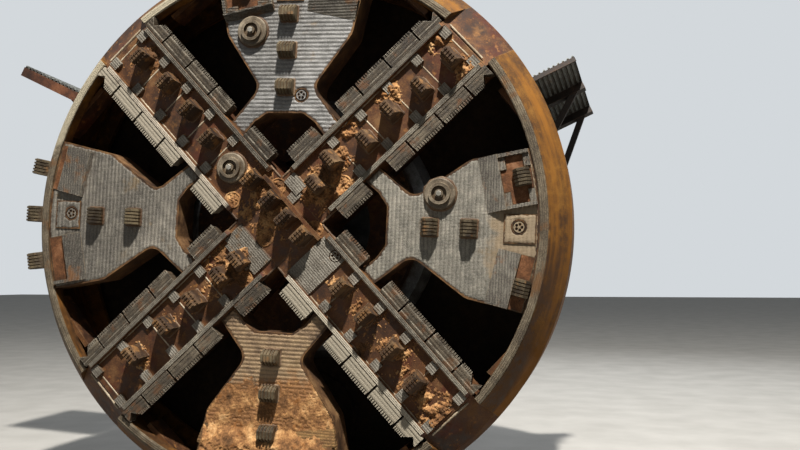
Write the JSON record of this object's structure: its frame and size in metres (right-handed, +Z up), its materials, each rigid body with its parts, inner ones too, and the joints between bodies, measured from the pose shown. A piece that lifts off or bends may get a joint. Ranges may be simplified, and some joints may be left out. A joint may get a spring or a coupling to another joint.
{
  "type": "tunnel boring machine cutterhead on its bearing carrier",
  "caption": "Round soft-ground cutterhead with four toothed spokes and four hardfaced panels, turning on the front of a short shell with side decks.",
  "frame": {"origin": "centre of the bolt circle in the shell's rear flange, on the flange's rear face", "axes": "+Y along the machine's axis, from the face towards the rear flange; +Z up; +X to the right as seen from the face"},
  "size_m": [4.9693, 1.974, 4.1996],
  "materials": {
    "drum_ochre": "rusted, ochre",
    "band_hardfacing": "weld bead, worn",
    "rusty_plate": "brown rust",
    "hardfaced_plate": "weld bead stripes",
    "scraper_steel": "worn, dusty",
    "ripper_steel": "worn, muddy",
    "bearing_steel": "machined",
    "shell_primer": "red-brown primer, rusted",
    "muck_dark": "dried muck",
    "drive_paint": "grey-green enamel",
    "deck_zinc": "galvanised",
    "frame_black": "black paint",
    "frame_rust": "brown rust"
  },
  "bodies": {
    "carrier": {"shell": "shell_primer", "bulkhead": "muck_dark", "bulkhead_ribs": "rusty_plate", "bearing_housing": "bearing_steel", "drive_units": "drive_paint", "muck_port": "drive_paint", "port_gate": "muck_dark", "deck_right": "deck_zinc", "deck_left": "deck_zinc", "deck_frame_right": "frame_black", "deck_frame_left": "frame_rust"},
    "head": {"rim_drum": "drum_ochre", "rim_edge": "drum_ochre", "rim_band": "band_hardfacing", "hub": "rusty_plate", "drive_flange": "rusty_plate", "bearing_spigot": "bearing_steel", "spoke_ne": "rusty_plate", "spoke_se": "rusty_plate", "spoke_sw": "rusty_plate", "spoke_nw": "rusty_plate", "panel_n": "hardfaced_plate", "panel_e": "hardfaced_plate", "panel_s": "hardfaced_plate", "panel_w": "hardfaced_plate", "scrapers_ne": "scraper_steel", "scrapers_se": "scraper_steel", "scrapers_sw": "scraper_steel", "scrapers_nw": "scraper_steel", "rippers_ne": "ripper_steel", "rippers_se": "ripper_steel", "rippers_sw": "ripper_steel", "rippers_nw": "ripper_steel", "rippers_hub": "ripper_steel", "panel_tools_n": "ripper_steel", "panel_tools_e": "ripper_steel", "panel_tools_s": "ripper_steel", "panel_tools_w": "ripper_steel", "gauge_n": "hardfaced_plate", "gauge_e": "hardfaced_plate", "gauge_s": "hardfaced_plate", "gauge_w": "hardfaced_plate", "wear_blocks": "hardfaced_plate", "nozzle_caps": "ripper_steel", "bucket_lips": "rusty_plate"}
  },
  "joints": [
    {"name": "head_spin", "type": "hinge", "parent": "carrier", "child": "head", "pos_m": [0, -1.8, 0], "axis": [0, 1, 0], "continuous": true}
  ]
}
